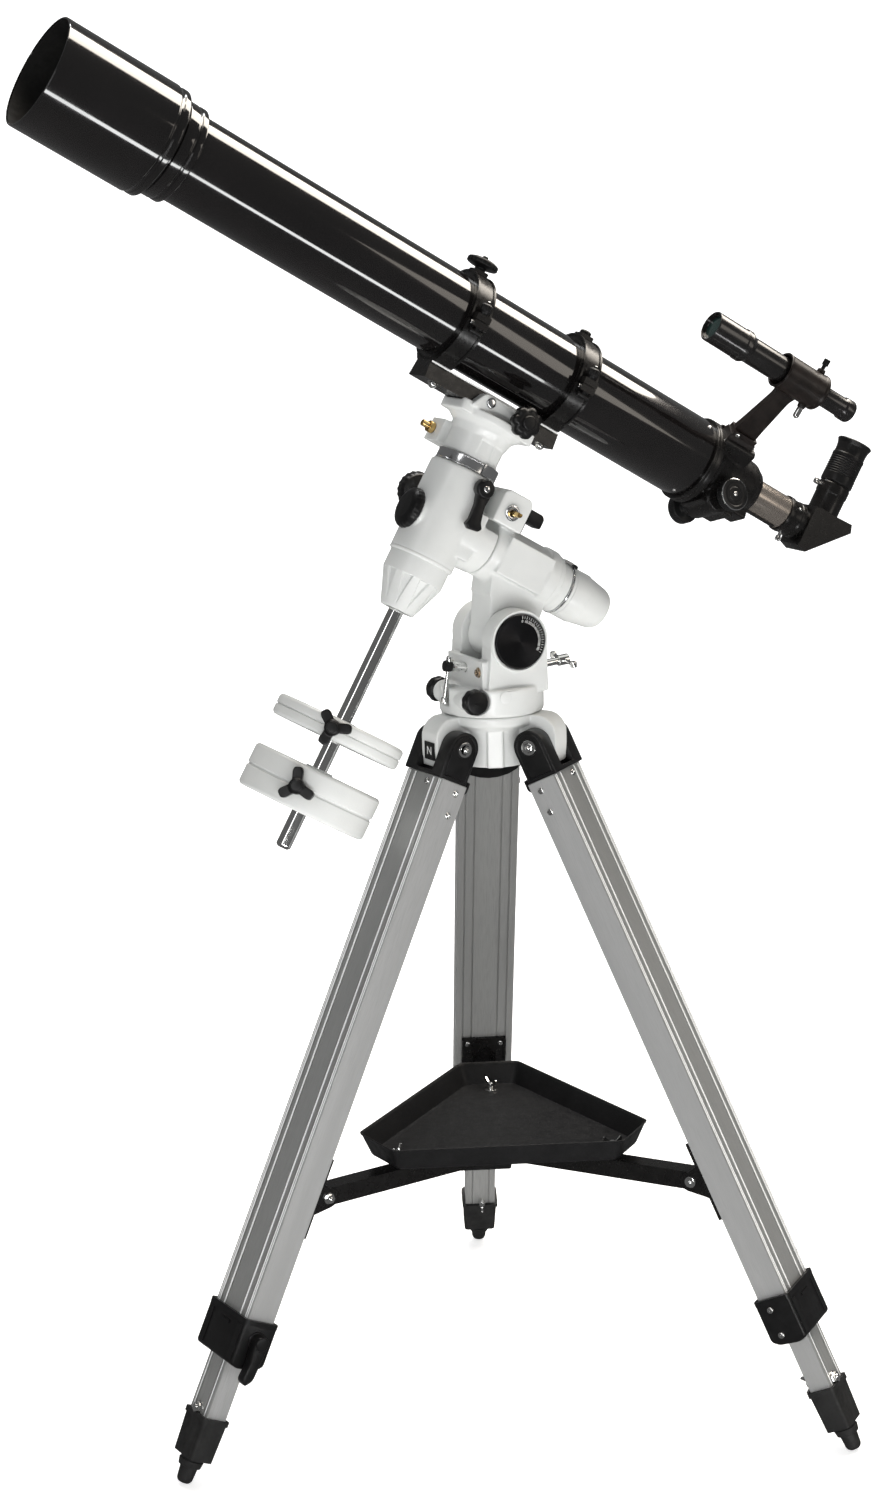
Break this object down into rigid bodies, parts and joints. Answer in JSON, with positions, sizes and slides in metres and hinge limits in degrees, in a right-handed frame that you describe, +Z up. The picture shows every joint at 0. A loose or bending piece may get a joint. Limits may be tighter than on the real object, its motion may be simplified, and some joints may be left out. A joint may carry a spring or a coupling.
{
  "type": "telescope on tripod",
  "caption": "Black refracting telescope with finder, diagonal and eyepiece on a white German equatorial mount with counterweights and a grey aluminium tripod with tray.",
  "frame": {"origin": "on the floor under the middle of the overall length and width", "axes": "+Z up, -X to the north leg and the front of the tube, -Y to the side with the clamp knobs"},
  "size_m": [1.0719, 0.8144, 1.6559],
  "materials": {
    "cast_white": "white stove enamel on a casting, semi-gloss",
    "gloss_black": "gloss black paint",
    "satin_black": "satin black powder coat",
    "black_plastic": "satin black moulded plastic",
    "rubber": "matt black rubber",
    "aluminium": "satin anodised",
    "chrome": "polished",
    "silver": "turned bright metal",
    "pearl": "pearl anodised",
    "brass": "machined",
    "glass": "coated lens"
  },
  "bodies": {
    "tripod": {"tripod_hub": "cast_white", "leg_head_north": "black_plastic", "leg_head_right": "black_plastic", "leg_head_left": "black_plastic", "leg_upper_north": "aluminium", "leg_upper_right": "aluminium", "leg_upper_left": "aluminium", "leg_clamp_north": "black_plastic", "leg_clamp_right": "black_plastic", "leg_clamp_left": "black_plastic", "spreader": "satin_black", "accessory_tray": "satin_black"},
    "lower_leg_north": {"leg_lower_north": "aluminium", "leg_foot_north": "rubber"},
    "lower_leg_right": {"leg_lower_right": "aluminium", "leg_foot_right": "rubber"},
    "lower_leg_left": {"leg_lower_left": "aluminium", "leg_foot_left": "rubber"},
    "lock_lever_north": {"leg_lock_lever_north": "black_plastic"},
    "lock_lever_right": {"leg_lock_lever_right": "black_plastic"},
    "lock_lever_left": {"leg_lock_lever_left": "black_plastic"},
    "azimuth_head": {"azimuth_base": "cast_white", "latitude_scale_cap": "black_plastic"},
    "azimuth_screw_right": {"azimuth_knob_right": "black_plastic"},
    "azimuth_screw_left": {"azimuth_knob_left": "black_plastic"},
    "front_latitude_screw": {"latitude_bolt_front": "chrome"},
    "rear_latitude_screw": {"latitude_bolt_rear": "chrome"},
    "polar_head": {"ra_housing": "cast_white", "polar_rear_cap": "cast_white"},
    "ra_circle": {"ra_setting_circle": "silver"},
    "ra_worm": {"ra_worm_shaft": "black_plastic"},
    "ra_lock": {"ra_lock_lever": "black_plastic"},
    "dec_head": {"dec_housing": "cast_white", "polar_front_cap": "black_plastic", "counterweight_shaft": "chrome"},
    "dec_lock": {"dec_lock_lever": "black_plastic"},
    "small_weight": {"counterweight_small": "cast_white"},
    "large_weight": {"counterweight_large": "cast_white"},
    "small_weight_knob": {"counterweight_knob_small": "black_plastic"},
    "large_weight_knob": {"counterweight_knob_large": "black_plastic"},
    "dec_circle": {"dec_setting_circle": "silver"},
    "optical_tube": {"saddle": "cast_white", "dovetail_bar": "satin_black", "tube_ring_front_lower": "satin_black", "tube_ring_front_upper": "satin_black", "tube_ring_rear_lower": "satin_black", "tube_ring_rear_upper": "satin_black", "main_tube": "gloss_black", "lens_cell": "satin_black", "objective_lens": "glass", "dew_shield": "gloss_black", "focuser_body": "satin_black", "finder_bracket": "satin_black", "finder_scope": "gloss_black"},
    "saddle_knob": {"saddle_clamp_knob": "black_plastic"},
    "dec_worm": {"dec_worm_shaft": "brass"},
    "drawtube_slide": {"drawtube": "pearl"},
    "focus_pinion": {"focus_knobs": "black_plastic"},
    "diagonal": {"star_diagonal": "satin_black"},
    "eyepiece_barrel": {"eyepiece": "black_plastic"}
  },
  "joints": [
    {"name": "azimuth_turn", "type": "hinge", "parent": "tripod", "child": "azimuth_head", "pos_m": [0.0098, 0, 0.86], "axis": [0, 0, 1], "range_deg": [-2.4, 17.6]},
    {"name": "latitude_tilt", "type": "hinge", "parent": "azimuth_head", "child": "polar_head", "pos_m": [0.0214, -0.00155, 0.949], "axis": [0.1323, 0.9912, 0], "range_deg": [-6, 28]},
    {"name": "latitude_screw_front", "type": "slide", "parent": "azimuth_head", "child": "front_latitude_screw", "axis": [-0.9782, 0.1305, 0.1616], "range_m": [-0.006, 0.022]},
    {"name": "latitude_screw_rear", "type": "slide", "parent": "azimuth_head", "child": "rear_latitude_screw", "axis": [-0.9874, 0.1318, -0.0872], "range_m": [-0.006, 0.026]},
    {"name": "azimuth_knob_right_turn", "type": "hinge", "parent": "azimuth_head", "child": "azimuth_screw_right", "pos_m": [-0.04241, -0.04348, 0.882], "axis": [0.1323, 0.9912, 0], "continuous": true},
    {"name": "azimuth_knob_left_turn", "type": "hinge", "parent": "azimuth_head", "child": "azimuth_screw_left", "pos_m": [-0.02918, 0.05565, 0.882], "axis": [0.1323, 0.9912, 0], "continuous": true},
    {"name": "ra_turn", "type": "hinge", "parent": "polar_head", "child": "dec_head", "pos_m": [-0.00625, 0.00214, 1.06011], "axis": [0.8567, -0.1143, -0.503], "range_deg": [-33, 78]},
    {"name": "ra_circle_turn", "type": "hinge", "parent": "polar_head", "child": "ra_circle", "pos_m": [0.10169, -0.01226, 0.99673], "axis": [0.8567, -0.1143, -0.503], "continuous": true},
    {"name": "ra_worm_turn", "type": "hinge", "parent": "polar_head", "child": "ra_worm", "pos_m": [0.02318, -0.00178, 1.09721], "axis": [0.1323, 0.9912, 0], "continuous": true},
    {"name": "ra_lock_turn", "type": "hinge", "parent": "polar_head", "child": "ra_lock", "pos_m": [0.04868, -0.00519, 1.07183], "axis": [0.4986, -0.0665, 0.8643], "range_deg": [-40, 40]},
    {"name": "dec_turn", "type": "hinge", "parent": "dec_head", "child": "optical_tube", "pos_m": [-0.01284, 0.00302, 1.16002], "axis": [0.4986, -0.0665, 0.8643], "continuous": true},
    {"name": "dec_circle_turn", "type": "hinge", "parent": "dec_head", "child": "dec_circle", "pos_m": [-0.01733, 0.00362, 1.15224], "axis": [0.4986, -0.0665, 0.8643], "continuous": true},
    {"name": "dec_lock_turn", "type": "hinge", "parent": "dec_head", "child": "dec_lock", "pos_m": [-0.02508, -0.04377, 1.12992], "axis": [0.1323, 0.9912, 0], "range_deg": [-30, 45]},
    {"name": "small_weight_slide", "type": "slide", "parent": "dec_head", "child": "small_weight", "axis": [0.4986, -0.0665, 0.8643], "range_m": [-0.036, 0.13]},
    {"name": "large_weight_slide", "type": "slide", "parent": "dec_head", "child": "large_weight", "axis": [0.4986, -0.0665, 0.8643], "range_m": [-0.04, 0.035]},
    {"name": "small_weight_knob_turn", "type": "hinge", "parent": "small_weight", "child": "small_weight_knob", "pos_m": [-0.23524, -0.04081, 0.87825], "axis": [0.5546, 0.7908, -0.2591], "continuous": true},
    {"name": "large_weight_knob_turn", "type": "hinge", "parent": "large_weight", "child": "large_weight_knob", "pos_m": [-0.27814, -0.03096, 0.81524], "axis": [0.6105, 0.7347, -0.2957], "continuous": true},
    {"name": "saddle_knob_turn", "type": "hinge", "parent": "optical_tube", "child": "saddle_knob", "pos_m": [0.02397, -0.0604, 1.20332], "axis": [0.1323, 0.9912, 0], "continuous": true},
    {"name": "dec_worm_turn", "type": "hinge", "parent": "optical_tube", "child": "dec_worm", "pos_m": [0.00042, 0.04161, 1.17384], "axis": [0.8567, -0.1143, -0.503], "continuous": true},
    {"name": "focus_travel", "type": "slide", "parent": "optical_tube", "child": "drawtube_slide", "axis": [0.8567, -0.1143, -0.503], "range_m": [-0.045, 0.055]},
    {"name": "focus_knob_turn", "type": "hinge", "parent": "optical_tube", "child": "focus_pinion", "pos_m": [0.2981, -0.04968, 1.08726], "axis": [-0.0193, 0.9674, -0.2527], "range_deg": [-430, 530]},
    {"name": "diagonal_turn", "type": "hinge", "parent": "drawtube_slide", "child": "diagonal", "pos_m": [0.42649, -0.0556, 1.05478], "axis": [0.8567, -0.1143, -0.503], "continuous": true},
    {"name": "eyepiece_pull", "type": "slide", "parent": "diagonal", "child": "eyepiece_barrel", "axis": [0.4986, -0.0665, 0.8643], "range_m": [0, 0.025]},
    {"name": "leg_extend_north", "type": "slide", "parent": "tripod", "child": "lower_leg_north", "axis": [-0.4321, 0, -0.9018], "range_m": [-0.066, 0.4]},
    {"name": "leg_extend_right", "type": "slide", "parent": "tripod", "child": "lower_leg_right", "axis": [0.216, -0.3742, -0.9018], "range_m": [-0.066, 0.4]},
    {"name": "leg_extend_left", "type": "slide", "parent": "tripod", "child": "lower_leg_left", "axis": [0.216, 0.3742, -0.9018], "range_m": [-0.066, 0.4]},
    {"name": "lock_lever_north_turn", "type": "hinge", "parent": "tripod", "child": "lock_lever_north", "pos_m": [-0.36562, -0.0495, 0.17125], "axis": [-0.9018, 0, 0.4321], "range_deg": [0, 150]},
    {"name": "lock_lever_right_turn", "type": "hinge", "parent": "tripod", "child": "lock_lever_right", "pos_m": [0.24038, -0.30037, 0.17125], "axis": [0.4509, -0.781, 0.4321], "range_deg": [-150, 0]},
    {"name": "lock_lever_left_turn", "type": "hinge", "parent": "tripod", "child": "lock_lever_left", "pos_m": [0.15464, 0.34987, 0.17125], "axis": [0.4509, 0.781, 0.4321], "range_deg": [0, 150]}
  ],
  "couplings": [
    {"joint": "latitude_screw_front", "follows": "latitude_tilt", "m_per_rad": 0.043},
    {"joint": "latitude_screw_rear", "follows": "latitude_tilt", "m_per_rad": 0.046},
    {"joint": "focus_knob_turn", "follows": "focus_travel", "rad_per_m": 166.67}
  ]
}
